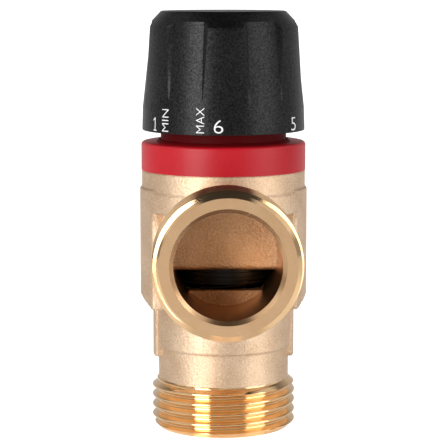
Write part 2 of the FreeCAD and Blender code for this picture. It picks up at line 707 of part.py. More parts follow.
def build_element():
    """Bulb with its crimped shoulder, the guide in it and the piston in the guide."""
    bulb, shoulder, guide = radius("bulb_dia"), radius("shoulder_dia"), radius("guide_dia")
    piston, flange = radius("piston_dia"), radius("guide_flange_dia")
    flange_low = shoulder_top - size("guide_flange")
    stem = piston + running * 2
    bevel = size("mouth_chamfer")
    bulb_foot = web_base - size("bulb_len")
    turned("element_bulb", [
        (0, bulb_foot), (bulb - bevel, bulb_foot), (bulb, bulb_foot + bevel),
        (bulb, web_top), (shoulder, web_top), (shoulder, shoulder_top), (flange, shoulder_top),
        (flange, flange_low), (stem, flange_low), (stem, piston_well), (0, piston_well)])
    bore = piston + running
    turned("element_guide", [
        (bore, flange_low), (flange - fit, flange_low), (flange - fit, shoulder_top),
        (guide, shoulder_top), (guide, shoulder_top + size("guide_len")),
        (bore, shoulder_top + size("guide_len"))])
    piston_foot = piston_well + size("piston_well_gap")
    piston_top = plunger_foot + fit + size("plunger_flange") / 2
    turned("element_piston", [
        (0, piston_foot), (piston, piston_foot), (piston, piston_top), (0, piston_top)])


def build_element_clip():
    land = size("clip_land")
    inner, outer = radius("guide_dia") + land, radius("hub_collar_dia") - land
    open_clip("element_clip", inner, outer, shoulder_top + fit, shoulder_top + clip)


def build_shuttle():
    """Sleeve with a spoked web, a hub for the element, a seal groove and lead-in grooves."""
    outer, bore = radius("chamber_dia") - size("shuttle_gap"), radius("shuttle_bore_dia")
    wire = size("big_seal_wire")
    seal_low, seal_high = shuttle_ring - wire * SEAL_GROOVE_RATIO, shuttle_ring + wire * SEAL_GROOVE_RATIO
    floor = radius("chamber_dia") - running - wire - fit
    hub_bore = radius("bulb_dia") + running
    collar, collar_bore = radius("hub_collar_dia"), radius("shoulder_dia") + running
    clip_radius = collar - size("clip_land") + running
    collar_top = shoulder_top + clip * 1.6
    depth = size("groove_depth")
    pitch = (seal_low - shuttle_foot) / (LEAD_GROOVE_COUNT * 2)
    corners = [(bore, shuttle_foot), (outer, shuttle_foot)]
    for number in range(LEAD_GROOVE_COUNT):
        low = shuttle_foot + pitch * (number + 0.5)
        corners += [(outer, low), (outer - depth, low), (outer - depth, low + pitch / 2),
                    (outer, low + pitch / 2)]
    corners += [
        (outer, seal_low), (floor, seal_low), (floor, seal_high), (outer, seal_high),
        (outer, shuttle_top), (bore, shuttle_top), (bore, web_top), (collar, web_top),
        (collar, collar_top), (collar_bore, collar_top), (collar_bore, web_top),
        (hub_bore, web_top), (hub_bore, web_base), (bore, web_base)]
    body = turned("shuttle", corners)
    before = body.Shape.Volume
    opening = ring_profile(radius("window_inner_dia"), radius("window_outer_dia"),
                           web_base - overcut, web_top + overcut)
    opening_angle = as_size(360 / SPOKE_COUNT) - size("spoke_angle")
    turned(None, opening, body, "PartDesign::Groove", opening_angle)
    round_copies(body, body.Tip, SPOKE_COUNT)
    assert body.Shape.Volume < before
    groove(body, ring_profile(collar_bore - running, clip_radius, shoulder_top, shoulder_top + clip + fit))
    return body


def build_shuttle_seal():
    wire = size("big_seal_wire")
    centre = radius("chamber_dia") - running - wire / 2
    seal("shuttle_o_ring", centre, shuttle_ring, wire)


# ------------------------------------------------------------------ springs and their seat

def build_springs():
    coil("overtravel_spring", radius("overtravel_coil_dia"), size("overtravel_wire"),
         plunger_top + running, cavity_top - running, size("overtravel_turns"))
    coil("return_spring", radius("return_coil_dia"), size("return_wire"),
         size("outlet_bore_depth") + running, web_base - running, size("return_turns"))


def build_spring_seat():
    """Cup washer against the outlet's ledge, with a lip inside the spring."""
    opening, lip = radius("seat_opening_dia"), size("seat_lip")
    inner_lip = opening + lip / 3
    turned("spring_seat", [
        (opening, seat_low), (radius("outlet_bore_dia") - running, seat_low),
        (radius("outlet_bore_dia") - running, size("outlet_bore_depth")),
        (inner_lip, size("outlet_bore_depth")), (inner_lip, size("outlet_bore_depth") + lip),
        (opening, size("outlet_bore_depth") + lip)])


def build_seat_clip():
    outlet = radius("outlet_bore_dia")
    open_clip("seat_circlip", outlet - size("clip_land"), outlet + size("clip_bite") - fit,
              seat_clip_low + fit, seat_low)


# ------------------------------------------------------------------ build, check and write

def main():
    build_valve_body()
    build_bonnet()
    build_bonnet_seal()
    build_indicator_collar()
    build_collar_clip()
    build_control_knob()
    build_knob_cap()
    build_knob_screw()
    build_spindle()
    build_spindle_seals()
    build_spindle_clip()
    build_thrust_washer()
    build_pusher_nut()
    build_overtravel_plunger()
    build_plunger_clip()
    build_element()
    build_element_clip()
    build_shuttle()
    build_shuttle_seal()
    build_springs()
    build_spring_seat()
    build_seat_clip()
    doc.recompute()

    for item in doc.Objects:
        if "Invalid" in item.State or "Error" in item.State:
            raise RuntimeError(f"{item.Label}: {item.State}")
    os.makedirs("parts", exist_ok=True)
    for piece in PIECES:
        shape = piece.Shape
        if shape.isNull() or not shape.isValid() or len(shape.Solids) != 1:
            raise RuntimeError(f"{piece.Label}: not one valid solid")
    for piece in PIECES:
        piece.Shape.exportStep(os.path.join("parts", piece.Label + ".step"))
        box = piece.Shape.BoundBox
        print(f"{piece.Label:22s} {piece.Shape.Volume:9.1f} mm3  x {box.XMin:.2f}..{box.XMax:.2f}"
              f"  y {box.YMin:.2f}..{box.YMax:.2f}  z {box.ZMin:.2f}..{box.ZMax:.2f}")


main()
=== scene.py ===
import json
import math

import bmesh
import bpy
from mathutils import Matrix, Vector


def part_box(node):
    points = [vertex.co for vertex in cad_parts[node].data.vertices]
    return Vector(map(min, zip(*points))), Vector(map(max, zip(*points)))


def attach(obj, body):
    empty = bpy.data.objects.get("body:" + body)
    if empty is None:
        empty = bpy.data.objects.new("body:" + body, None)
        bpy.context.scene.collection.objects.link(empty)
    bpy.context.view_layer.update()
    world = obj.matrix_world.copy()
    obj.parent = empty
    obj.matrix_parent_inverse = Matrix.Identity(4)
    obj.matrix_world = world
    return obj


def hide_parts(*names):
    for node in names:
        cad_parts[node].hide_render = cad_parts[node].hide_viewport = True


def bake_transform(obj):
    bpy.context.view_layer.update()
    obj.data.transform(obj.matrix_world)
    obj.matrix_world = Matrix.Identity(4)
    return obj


MM = 0.001
TAU = 2 * math.pi
WELD = 1e-7

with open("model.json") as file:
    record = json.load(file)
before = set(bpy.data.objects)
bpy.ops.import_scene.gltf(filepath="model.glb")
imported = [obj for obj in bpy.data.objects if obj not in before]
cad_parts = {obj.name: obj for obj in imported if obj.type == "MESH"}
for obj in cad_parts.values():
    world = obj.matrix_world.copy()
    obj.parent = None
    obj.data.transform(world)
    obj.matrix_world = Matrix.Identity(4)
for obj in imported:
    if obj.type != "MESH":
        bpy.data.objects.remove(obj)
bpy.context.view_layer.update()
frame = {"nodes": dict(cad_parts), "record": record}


# ------------------------------------------------------------------ the body's places

body_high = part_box("valve_body")[1]
mounts = {mount["name"]: mount for mount in frame["record"]["mounts"]}

# The G 1 thread: 11 to the inch, 55 degrees, with crest and root rounded by the same radius.
THREADS_PER_INCH = 11
THREAD_PITCH = 25.4 / THREADS_PER_INCH * MM
THREAD_DEPTH = 0.6403 * THREAD_PITCH
THREAD_ROUND = 0.137329 * THREAD_PITCH
THREAD_HALF_ANGLE = math.radians(27.5)
THREAD_CREST = mounts["outlet_thread"]["dims"]["r_mm"] * MM
THREAD_ROOT = THREAD_CREST - THREAD_DEPTH

OUTLET_CHAMFER = 1.3 * MM
OUTLET_THREAD_LENGTH = 10.8 * MM
OUTLET_THREAD_RUNOUT = 0.7 * MM
OUTLET_THREAD_PHASE = 0.62

SIDE_CHAMFER = 1.6 * MM
SIDE_THREAD_LENGTH = 13.0 * MM
PORT_AXIS = mounts["front_thread"]["pos_m"][2]
PORT_FACE = body_high.y
PORT_BORE = 11.8 * MM
PORT_FLOOR = 14.5 * MM
PORT_BACK_INNER = 6 * MM
MOUTH_WIDTH = 0.95 * MM
MOUTH_DEPTH = 1.2 * MM
WINDOW_LEVEL = PORT_AXIS - 5 * MM
UPRIGHT_BORE = 15.05 * MM

SHOULDER_RADIUS = 19.3 * MM
PAD_TOP = 56.1 * MM
PAD_INNER = 12 * MM
PAD_THICKNESS = 2.4 * MM
UPPER_PADS = {"radius": SHOULDER_RADIUS, "half_width": 19.57 * MM, "depth": 10.6 * MM,
              "low": 28.5 * MM, "high": PAD_TOP}
LOWER_PADS = {"radius": 16.4 * MM, "half_width": 16.67 * MM, "depth": 4.6 * MM,
              "low": 16.5 * MM, "high": 36 * MM}
LOWER_BARREL_END = 17.0 * MM
LOWER_BARREL_RISE = 2.3 * MM


# ------------------------------------------------------------------ the knob's places

knob_low, knob_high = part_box("control_knob")

RIM_LOW = knob_low.z
KNOB_TOP = knob_high.z
RING_TOP = RIM_LOW - 2.7 * MM
SKIRT_TOP = RIM_LOW + 5.3 * MM
BEVEL_LOW = KNOB_TOP - 2.2 * MM
BEVEL_SLOPE = 2.1 / 2.2

RIM_RADIUS = 18.72 * MM
RIM_INNER = RIM_RADIUS - 1.9 * MM
RIM_ROUND = 0.12 * MM
SKIRT_RADIUS = 18.55 * MM
CONE_TOP_RADIUS = 16.38 * MM
FACE_RADIUS = CONE_TOP_RADIUS - 2.1 * MM
FACE_INNER = 10.65 * MM

RIB_COUNT = 6
RIB_RISE = 1.1 * MM
RIB_START = RIM_LOW + 6.3 * MM
RIB_LENGTH = 18.3 * MM
RIB_FOOT = math.radians(17.0)
CREST_LOW = math.radians(16.2)
CREST_NARROWING = math.radians(3.4)

PRINT_FOOT = RIM_LOW + 0.5 * MM
PRINT_LIFT = 0.02 * MM
PRINT_CUT = 0.25 * MM
STROKE_OFFSET = -0.013
NUMBER_HEIGHT = 2.95 * MM
NUMBER_WIDTH = 1.2
NUMBER_PLACES = (("1", -57.3), ("2", 240.5), ("3", 179.0), ("4", 117.5), ("5", 56.0), ("6", -5.1))


# ------------------------------------------------------------------ the camera and the lamps

CAMERA_AZIMUTH = math.radians(-1.75)
CAMERA_REACH = 0.43
CAMERA_HEIGHT = 0.104
CAMERA_AIM = Vector((0.00002, 0, 0.0472))
CAMERA_LENS = 150.38
CAMERA_SENSOR = 36
CAMERA_NEAR = 0.01

LAMP_AIM = Vector((0, 0, 0.05))
LAMP_DISTANCE = 0.62
LAMP_ELEVATION = math.radians(10)
LAMP_TALL = 0.75


# ------------------------------------------------------------------ node helpers

def new_material(name):
    """An empty node material with its Principled shader."""
    material = bpy.data.materials.new(name)
    material.use_nodes = True
    return material, material.node_tree.nodes["Principled BSDF"]


def node(owner, kind, inputs=None, **settings):
    """A node of a material or world, with plain values, or links given as output sockets."""
    made = owner.node_tree.nodes.new(kind)
    for key, value in settings.items():
        setattr(made, key, value)
    for key, value in (inputs or {}).items():
        if isinstance(value, bpy.types.NodeSocket):
            owner.node_tree.links.new(value, made.inputs[key])
        else:
            made.inputs[key].default_value = value
    return made


def maths(owner, operation, first, second=0.0):
    """One output socket of a Math node."""
    return node(owner, "ShaderNodeMath", {0: first, 1: second}, operation=operation).outputs[0]


def object_point(material):
    """The point's place in the row frame at rest, in metres."""
    return node(material, "ShaderNodeTexCoord").outputs["Object"]


def noise(material, point, size, detail, roughness=0.5):
    """Noise with features of about size metres, as a number near 0.5."""
    inputs = {"Vector": point, "Scale": 1 / size, "Detail": detail, "Roughness": roughness}
    return node(material, "ShaderNodeTexNoise", inputs).outputs["Fac"]


def ramp(material, factor, stops):
    """A colour ramp through (place, colour) stops."""
    made = node(material, "ShaderNodeValToRGB", {"Fac": factor})
    elements = made.color_ramp.elements
    while len(elements) < len(stops):
        elements.new(0.5)
    for element, (place, colour) in zip(elements, stops):
        element.position = place
        element.color = (*colour, 1)
    return made.outputs["Color"]


def span(owner, factor, low, high, start=0.0, end=1.0):
    """factor from start..end carried to low..high, and held at those ends."""
    inputs = {"Value": factor, "From Min": start, "From Max": end, "To Min": low, "To Max": high}
    return node(owner, "ShaderNodeMapRange", inputs).outputs["Result"]


def bump(material, height, distance, strength, normal=None):
    """The normal for a height given in units of distance metres."""
    inputs = {"Height": height, "Distance": distance, "Strength": strength}
    if normal is not None:
        inputs["Normal"] = normal
    return node(material, "ShaderNodeBump", inputs).outputs["Normal"]


def shaded(colour, shade):
    """A colour with each channel multiplied by its part of the shade."""
    return tuple(channel * part for channel, part in zip(colour, shade))


def connect(material, shader, **sockets):
    """Sets or links the shader's sockets; an underscore in a name stands for a space."""
    for key, value in sockets.items():
        socket = shader.inputs[key.replace("_", " ")]
        if isinstance(value, bpy.types.NodeSocket):
            material.node_tree.links.new(value, socket)
        else:
            socket.default_value = value


# ------------------------------------------------------------------ materials

def forged_brass(name, shade, grain_height):
    """Shot-blasted forging: pale tan, satin, with a dimpled grain and soft edges."""
    material, shader = new_material(name)
    point = object_point(material)
    grain = noise(material, point, 0.42 * MM, 3.0, 0.65)
    dimples = node(material, "ShaderNodeTexVoronoi", {"Vector": point, "Scale": 1 / (0.55 * MM)},
                   feature="SMOOTH_F1").outputs["Distance"]
    height = maths(material, "ADD", grain, maths(material, "MULTIPLY", dimples, 0.8))
    patches = noise(material, point, 6 * MM, 3.0)
    speckle = noise(material, point, 0.3 * MM, 2.0)
    tone = maths(material, "ADD", maths(material, "MULTIPLY", patches, 0.3),
                 maths(material, "MULTIPLY", speckle, 0.7))
    colour = ramp(material, tone, [(0.34, shaded((0.585, 0.39, 0.24), shade)),
                                   (0.5, shaded((0.71, 0.515, 0.35), shade)),
                                   (0.66, shaded((0.82, 0.64, 0.465), shade))])
    edges = node(material, "ShaderNodeBevel", {"Radius": 0.9 * MM}, samples=4).outputs["Normal"]
    connect(material, shader, Base_Color=colour, Metallic=1.0,
            Roughness=span(material, speckle, 0.4, 0.58),
            Normal=bump(material, height, grain_height, 0.6, edges))
    return material


def turned_brass(name, along_axis, height, roughness, shade=(1, 1, 1)):
    """Machined brass with fine circular tool marks round an axis along Y or Z at that height."""
    material, shader = new_material(name)
    point = object_point(material)
    parts = node(material, "ShaderNodeSeparateXYZ", {"Vector": point}).outputs
    if along_axis == "Y":
        across, up, along = parts["X"], maths(material, "SUBTRACT", parts["Z"], height), parts["Y"]
    else:
        across, up, along = parts["X"], parts["Y"], parts["Z"]
    squares = maths(material, "ADD", maths(material, "MULTIPLY", across, across),
                    maths(material, "MULTIPLY", up, up))
    radial = maths(material, "SQRT", squares)
    line = node(material, "ShaderNodeCombineXYZ", {"X": maths(material, "ADD", radial, along)})
    marks = noise(material, line.outputs["Vector"], 0.11 * MM, 2.0)
    smudge = noise(material, point, 4 * MM, 3.0)
    colour = ramp(material, smudge, [(0.3, shaded((0.87, 0.565, 0.3), shade)),
                                     (0.7, shaded((0.92, 0.62, 0.35), shade))])
    connect(material, shader, Base_Color=colour, Metallic=1.0,
            Roughness=span(material, smudge, roughness * 0.8, roughness * 1.3),
            Normal=bump(material, marks, 0.012 * MM, 0.5))
    return material


def moulded_plastic(name, dark, pale, roughness, grain_size, grain_height, gloss=0.5):
    """Plastic with a moulded grain. gloss is the specular level, or its (low, high) over the grain."""
    material, shader = new_material(name)
    point = object_point(material)
    grain = noise(material, point, grain_size, 3.0, 0.65)
    cloud = noise(material, point, 9 * MM, 2.0)
    tone = maths(material, "ADD", maths(material, "MULTIPLY", cloud, 0.5),
                 maths(material, "MULTIPLY", grain, 0.5))
    if isinstance(gloss, tuple):
        gloss = span(material, grain, gloss[0], gloss[1], 0.38, 0.62)
    connect(material, shader, Base_Color=ramp(material, tone, [(0.35, dark), (0.65, pale)]),
            Roughness=span(material, grain, roughness * 0.85, roughness * 1.15),
            Normal=bump(material, grain, grain_height, 0.5), Specular_IOR_Level=gloss)
    return material


def steel(name, colour, roughness):
    """Drawn or turned metal with fine streaks."""
    material, shader = new_material(name)
    point = object_point(material)
    stretched = node(material, "ShaderNodeMapping", {"Vector": point, "Scale": (1, 1, 6)})
    streaks = noise(material, stretched.outputs["Vector"], 0.4 * MM, 3.0)
    pale = tuple(min(1.0, channel * 1.2) for channel in colour)
    connect(material, shader, Base_Color=ramp(material, streaks, [(0.3, colour), (0.7, pale)]),
            Metallic=1.0, Roughness=span(material, streaks, roughness * 0.8, roughness * 1.3),
            Normal=bump(material, streaks, 0.01 * MM, 0.4))
    return material


def white_print():
    """Pad-printed white ink, slightly uneven."""
    material, shader = new_material("white_print")
    wear = noise(material, object_point(material), 0.3 * MM, 2.0)
    colour = ramp(material, wear, [(0.25, (0.72, 0.73, 0.75)), (0.5, (0.88, 0.89, 0.9))])
    connect(material, shader, Base_Color=colour, Roughness=span(material, wear, 0.45, 0.6))
    return material


FORGED = forged_brass("forged_brass", (1, 1, 1), 0.15 * MM)
# Painted shade: the forging darker and more saturated on the back of the side ports' bores.
FORGED_PAINTED_SHADE = forged_brass("forged_brass_painted_shade", (0.86, 0.83, 0.76), 0.36 * MM)
# Painted shade: the port's back below the window darker and more saturated still, as deep shade.
FORGED_PAINTED_DEEP_SHADE = forged_brass("forged_brass_painted_deep_shade", (0.7, 0.6, 0.48), 0.36 * MM)
TURNED_SIDE = turned_brass("turned_brass_side", "Y", PORT_AXIS, 0.24, (0.97, 0.93, 0.93))
TURNED_BRIGHT = turned_brass("turned_brass_bright", "Y", PORT_AXIS, 0.1)
# Painted shade: the turned bore wall inside the port darker than the port's face.
TURNED_PAINTED_SHADE = turned_brass("turned_brass_painted_shade", "Y", PORT_AXIS, 0.22, (0.72, 0.6, 0.5))
TURNED_UP = turned_brass("turned_brass_upright", "Z", 0.0, 0.1, (0.97, 0.96, 0.93))
RED = moulded_plastic("red_plastic", (0.44, 0.004, 0.011), (0.5, 0.006, 0.016), 0.4,
                      0.25 * MM, 0.008 * MM, (0.3, 0.4))
# Painted shade: a dark, dull red for the collar's neck in the gap under the knob.
RED_PAINTED_SHADE = moulded_plastic("red_plastic_painted_shade", (0.1, 0.001, 0.002), (0.12, 0.001, 0.002), 0.6,
                             0.25 * MM, 0.008 * MM, 0.1)
BLACK = moulded_plastic("black_plastic", (0.002, 0.0016, 0.0017), (0.0085, 0.0076, 0.0079), 0.36,
                        0.42 * MM, 0.06 * MM, (0.12, 0.34))
SHUTTLE_BLACK = moulded_plastic("shuttle_plastic", (0.005, 0.0045, 0.004), (0.009, 0.008, 0.007), 0.4,
                                0.3 * MM, 0.006 * MM, 0.3)
RUBBER = moulded_plastic("seal_rubber", (0.012, 0.012, 0.012), (0.02, 0.02, 0.02), 0.6,
                         0.15 * MM, 0.01 * MM)
PTFE = moulded_plastic("washer_plastic", (0.82, 0.82, 0.8), (0.9, 0.9, 0.88), 0.45,
                       0.3 * MM, 0.006 * MM)
SPRING = steel("spring_steel", (0.03, 0.026, 0.022), 0.4)
STAINLESS = steel("stainless_steel", (0.55, 0.55, 0.56), 0.24)
COPPER = steel("copper_cup", (0.62, 0.30, 0.17), 0.3)
PRINT = white_print()

SLOT_MATERIALS = {
    "forged_brass": FORGED, "turned_brass": TURNED_UP, "red_plastic": RED, "black_plastic": BLACK,
    "shuttle_plastic": SHUTTLE_BLACK, "seal_rubber": RUBBER, "spring_steel": SPRING,
    "stainless_steel": STAINLESS, "copper_cup": COPPER, "washer_plastic": PTFE,
}

BODY_MATERIALS = (FORGED, TURNED_SIDE, TURNED_UP, TURNED_PAINTED_SHADE, FORGED_PAINTED_SHADE, FORGED_PAINTED_DEEP_SHADE)
SKIN, SIDE_TURNING, UPRIGHT_TURNING, PORT_WALL, PORT_BACK, PORT_BACK_LOW = range(len(BODY_MATERIALS))


# ------------------------------------------------------------------ mesh helpers

def add_object(name, mesh, *materials):
    """A mesh object in the scene with its materials."""
    made = bpy.data.objects.new(name, mesh)
    bpy.context.scene.collection.objects.link(made)
    for material in materials:
        mesh.materials.append(material)
    return made


def smooth_by_angle(mesh, degrees):
    """Smooth shading with the edges sharper than that angle kept sharp."""
    shaped = bmesh.new()
    shaped.from_mesh(mesh)
    limit = math.radians(degrees)
    for face in shaped.faces:
        face.smooth = True
    for edge in shaped.edges:
        edge.smooth = len(edge.link_faces) == 2 and edge.calc_face_angle(0.0) < limit
    shaped.to_mesh(mesh)
    shaped.free()


def copy_of(node_name, name):
    """A copy of a CAD node's mesh as a bmesh, its doubled vertices joined, and a new empty mesh."""
    shaped = bmesh.new()
    shaped.from_mesh(frame["nodes"][node_name].data)
    bmesh.ops.remove_doubles(shaped, verts=shaped.verts, dist=WELD)
    return shaped, bpy.data.meshes.new(name)


def into_mesh(shaped, mesh, sharp_degrees):
    """The bmesh written to the mesh, smooth but for edges sharper than that angle."""
    shaped.to_mesh(mesh)
    shaped.free()
    smooth_by_angle(mesh, sharp_degrees)


def cut_faces(shaped, faces, place, direction):
    """Cuts those faces with a plane and returns the faces that they become."""
    edges = {edge for face in faces for edge in face.edges}
    verts = {vert for face in faces for vert in face.verts}
    made = bmesh.ops.bisect_plane(shaped, geom=list(faces) + list(edges) + list(verts), dist=WELD,
                                  plane_co=place, plane_no=direction)
    return [part for part in made["geom"] if isinstance(part, bmesh.types.BMFace)]


def move_to_radius(vert, radius):
    """Moves a vertex level, to that distance from the upright axis."""
    share = radius / math.hypot(vert.co.x, vert.co.y)
    vert.co.x *= share
    vert.co.y *= share


# ------------------------------------------------------------------ the brass body

def pull_in_threads(shaped):
    """Plain thread bands drawn in to the thread's root, where the thread forms stand."""
    slack = 0.02 * MM
    for vert in shaped.verts:
        upright = Vector((vert.co.x, vert.co.y, 0))
        sideways = Vector((vert.co.x, 0, vert.co.z - PORT_AXIS))
        if vert.co.z < OUTLET_THREAD_LENGTH + slack and upright.length < THREAD_CREST + slack:
            reach, chamfer, free_end = upright, OUTLET_CHAMFER, vert.co.z < slack
        elif abs(vert.co.y) > PORT_FACE - SIDE_THREAD_LENGTH - slack:
            reach, chamfer, free_end = sideways, SIDE_CHAMFER, abs(vert.co.y) > PORT_FACE - slack
        else:
            continue
        root = min(THREAD_ROOT, THREAD_CREST - chamfer) if free_end else THREAD_ROOT
        if reach.length > root - slack:
            vert.co -= reach * (1 - (root - slack) / reach.length)


def body_zone(centre, normal):
    """The place in BODY_MATERIALS for a face."""
    slack, near_end = 0.02 * MM, 0.05 * MM
    port_radius = math.hypot(centre.x, centre.z - PORT_AXIS)
    out = abs(centre.y)
    if out > PORT_FACE - near_end:
        return SIDE_TURNING
    # Inside the side ports the bore wall and back take materials with painted shade, darkest below the
    # window.
    if port_radius < PORT_BORE + MOUTH_WIDTH and out > PORT_FLOOR + slack:
        return SIDE_TURNING if out > PORT_FACE - MOUTH_DEPTH else PORT_WALL
    if port_radius < PORT_BORE + 0.2 * MM and out > PORT_BACK_INNER:
        under_window = centre.y < 0 and centre.z < WINDOW_LEVEL
        return PORT_BACK_LOW if under_window else PORT_BACK
    if out > PORT_FACE - SIDE_THREAD_LENGTH - slack:
        return SIDE_TURNING
    if centre.z < OUTLET_THREAD_LENGTH:
        return UPRIGHT_TURNING
    in_bore = math.hypot(centre.x, centre.y) < UPRIGHT_BORE
    faces_outward = normal.dot(Vector((centre.x, centre.y, 0))) >= 1e-6
    if in_bore and not faces_outward:
        return SKIN if abs(normal.y) > 0.9 else UPRIGHT_TURNING
    return UPRIGHT_TURNING if centre.z > body_high.z - near_end else SKIN


def round_pads(shaped, radius, half_width, depth, low, high):
    """The forging's side pads between two levels, worn round to a radius about the upright axis."""
    slack = 0.05 * MM
    columns = 8
    strip = PAD_THICKNESS / 4

    def is_pad(point):
        return (abs(point.y) < depth + slack and low - slack < point.z < high + slack
                and math.hypot(point.x, point.y) > radius - PAD_THICKNESS
                and PAD_INNER < abs(point.x) < half_width + slack)

    faces = [face for face in shaped.faces if all(is_pad(vert.co) for vert in face.verts)]
    for step in range(1 - columns, columns):
        faces = cut_faces(shaped, faces, Vector((0, depth * step / columns, 0)), Vector((0, 1, 0)))
    for step in (1, 2, 3, 4):
        for side in (-1, 1):
            place = Vector((side * (radius - strip * step), 0, 0))
            faces = cut_faces(shaped, faces, place, Vector((1, 0, 0)))
    for vert in {vert for face in faces for vert in face.verts}:
        if math.hypot(vert.co.x, vert.co.y) > radius:
            move_to_radius(vert, radius)


def widen_shoulder(shaped):
    """The collar of the forging under its small top step, flush with the pads."""
    inner, outer, foot = 18.4 * MM, 19.2 * MM, 50 * MM
    wide_end, slope_end = PAD_TOP - 1.0 * MM, PAD_TOP - 0.45 * MM

    def is_wall(point):
        return inner < math.hypot(point.x, point.y) < outer and point.z > foot

    for level in (wide_end, slope_end):
        wall = [face for face in shaped.faces if all(is_wall(vert.co) for vert in face.verts)]
        cut_faces(shaped, wall, Vector((0, 0, level)), Vector((0, 0, 1)))
    for vert in shaped.verts:
        if is_wall(vert.co) and vert.co.z < wide_end + 0.1 * MM:
            move_to_radius(vert, SHOULDER_RADIUS)


def raise_lower_barrel(shaped):
    """The lower barrel's end a little above its pads' ends."""
    inner, outer, pad_side, slack = 14.6 * MM, 16.2 * MM, 4.8 * MM, 0.9 * MM
    for vert in shaped.verts:
        at_end = abs(vert.co.z - LOWER_BARREL_END) < slack
        if at_end and inner < math.hypot(vert.co.x, vert.co.y) < outer and abs(vert.co.y) > pad_side:
            vert.co.z += LOWER_BARREL_RISE


def build_body():
    """The forging with its turned faces, from the CAD mesh."""
    shaped, mesh = copy_of("valve_body", "valve_body_form")
    pull_in_threads(shaped)
    round_pads(shaped, **UPPER_PADS)
    round_pads(shaped, **LOWER_PADS)
    widen_shoulder(shaped)
    raise_lower_barrel(shaped)
    shaped.normal_update()
    for face in shaped.faces:
        face.material_index = body_zone(face.calc_center_median(), face.normal)
    into_mesh(shaped, mesh, 28)
    made = add_object("valve_body_form", mesh, *BODY_MATERIALS)
    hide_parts("valve_body")
    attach(made, "housing")


def thread_radius(offset):
    """Radius of the thread at that distance along its axis from a crest's middle."""
    tangent = THREAD_ROUND * math.cos(THREAD_HALF_ANGLE)
    from_root = THREAD_PITCH / 2 - offset
    if offset < tangent:
        return THREAD_CREST - THREAD_ROUND + math.sqrt(THREAD_ROUND ** 2 - offset ** 2)
    if from_root < tangent:
        return THREAD_ROOT + THREAD_ROUND - math.sqrt(THREAD_ROUND ** 2 - from_root ** 2)
    arc_drop = THREAD_ROUND * (1 - math.sin(THREAD_HALF_ANGLE))
    return THREAD_CREST - arc_drop - (offset - tangent) / math.tan(THREAD_HALF_ANGLE)


def build_thread(name, length, chamfer, outward, phase, material):
    """A right-hand thread, from its free end inwards. outward is "-Z", "+Y" or "-Y"."""
    columns, rows_per_pitch = 256, 18
    inner = min(THREAD_ROOT, THREAD_CREST - chamfer) - 0.02 * MM
    back_inner = THREAD_ROOT - 0.4 * MM
    hand = -1 if outward == "+Y" else 1
    last = int((length / THREAD_PITCH + 2) * rows_per_pitch)
    rows = range(-rows_per_pitch, last + 1)
    shaped = bmesh.new()

    def place(radius, angle, inward):
        across, up = radius * math.sin(angle), radius * math.cos(angle)
        if outward == "-Z":
            return Vector((up, across, inward))
        return Vector((across, (inward - PORT_FACE) * hand, PORT_AXIS + up))

    def form_point(row, column):
        share = hand * column / columns
        inward = min(max((row / rows_per_pitch + share) * THREAD_PITCH, 0.0), length)
        turn = (inward / THREAD_PITCH - share - phase) % 1.0
        radius = min(thread_radius(min(turn, 1 - turn) * THREAD_PITCH),
                     THREAD_CREST - chamfer + inward,
                     THREAD_ROOT + (length - inward) * THREAD_DEPTH / OUTLET_CHAMFER)
        return place(max(radius, inner), TAU * column / columns, inward)

    def ring(radius, inward):
        return [shaped.verts.new(place(radius, TAU * column / columns, inward))
                for column in range(columns)]

    grid = {row: [shaped.verts.new(form_point(row, column)) for column in range(columns)]
            for row in rows}
    rim = ring(inner, 0.0)
    back = ring(back_inner, length)
    first_row, last_row = grid[rows[0]], grid[rows[-1]]
    for column in range(columns):
        following = (column + 1) % columns
        jump = hand * rows_per_pitch if following == 0 else 0
        for row in rows[:-1]:
            low = min(max(row + jump, rows[0]), rows[-1])
            high = min(max(row + 1 + jump, rows[0]), rows[-1])
            corners = [grid[row][column], grid[low][following], grid[high][following],
                       grid[row + 1][column]]
            if low == high:
                corners.pop(1)
            shaped.faces.new(corners)
        shaped.faces.new([rim[column], rim[following], first_row[following], first_row[column]])
        shaped.faces.new([last_row[column], last_row[following], back[following], back[column]])
    bmesh.ops.remove_doubles(shaped, verts=shaped.verts, dist=20 * WELD)
    bmesh.ops.recalc_face_normals(shaped, faces=shaped.faces)
    mesh = bpy.data.meshes.new(name)
    into_mesh(shaped, mesh, 38)
    made = add_object(name, mesh, material)
    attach(made, "housing")


def build_threads():
    """The threads of the outlet and of the two side ports."""
    build_thread("outlet_thread_form", OUTLET_THREAD_LENGTH + OUTLET_THREAD_RUNOUT, OUTLET_CHAMFER, "-Z",
                 OUTLET_THREAD_PHASE, TURNED_UP)
    build_thread("front_thread_form", SIDE_THREAD_LENGTH, SIDE_CHAMFER, "-Y", 0.0, TURNED_BRIGHT)
    build_thread("back_thread_form", SIDE_THREAD_LENGTH, SIDE_CHAMFER, "+Y", 0.0, TURNED_BRIGHT)


# ------------------------------------------------------------------ the knob and its print

def bevel_radius(height):
    """The bevel under the knob's top face, carried on downwards."""
    return FACE_RADIUS + (KNOB_TOP - height) * BEVEL_SLOPE


def base_radius(height):
    """The knob's outside between its ribs."""
    if height <= SKIRT_TOP:
        share = (height - RIM_LOW) / (SKIRT_TOP - RIM_LOW)
        return RIM_RADIUS + (SKIRT_RADIUS - RIM_RADIUS) * share
    share = (height - SKIRT_TOP) / (BEVEL_LOW - SKIRT_TOP)
    cone = SKIRT_RADIUS + (CONE_TOP_RADIUS - SKIRT_RADIUS) * share
    return min(cone, bevel_radius(height))


def rib_crest(height):
    """(rise, half angle) of a rib's crest at that height."""
    share = min(max((height - RIB_START) / RIB_LENGTH, 0.0), 1.0)
    return RIB_RISE * share, CREST_LOW - CREST_NARROWING * share


def knob_radius(height, turn):
    """Outside radius at that height, turn being the angle from the nearest rib's middle."""
    rise, crest = rib_crest(height)
    wall = min(max((RIB_FOOT - abs(turn)) / (RIB_FOOT - crest), 0.0), 1.0)
    return min(base_radius(height) + rise * wall, bevel_radius(height))


